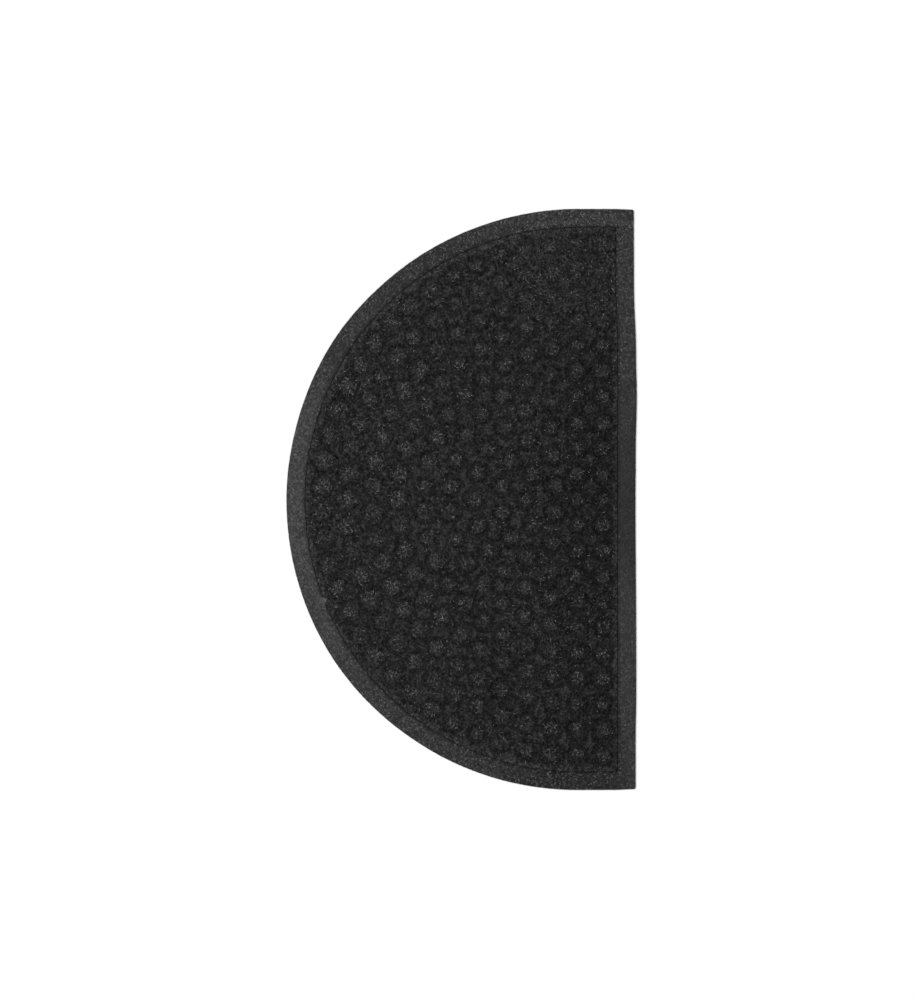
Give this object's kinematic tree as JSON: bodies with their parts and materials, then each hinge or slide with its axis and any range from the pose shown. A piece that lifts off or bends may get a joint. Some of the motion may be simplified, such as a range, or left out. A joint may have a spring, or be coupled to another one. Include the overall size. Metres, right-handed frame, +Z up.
{
  "type": "half-round doormat",
  "caption": "Half-round rubber doormat with a bevelled border and a dark fibre face pressed into round studs in half rings.",
  "frame": {"origin": "on the floor, under the middle of the mat's bounding box", "axes": "+X towards the straight edge, +Y along the straight edge, +Z up"},
  "size_m": [0.4528, 0.7508, 0.0076],
  "materials": {
    "crumb_rubber": "matte, fine crumb grain",
    "needled_fibre": "matte needled fibre, flecked with lighter fibres on the studs"
  },
  "bodies": {
    "root": {"rubber_base": "crumb_rubber", "carpet_face": "needled_fibre"}
  },
  "joints": []
}
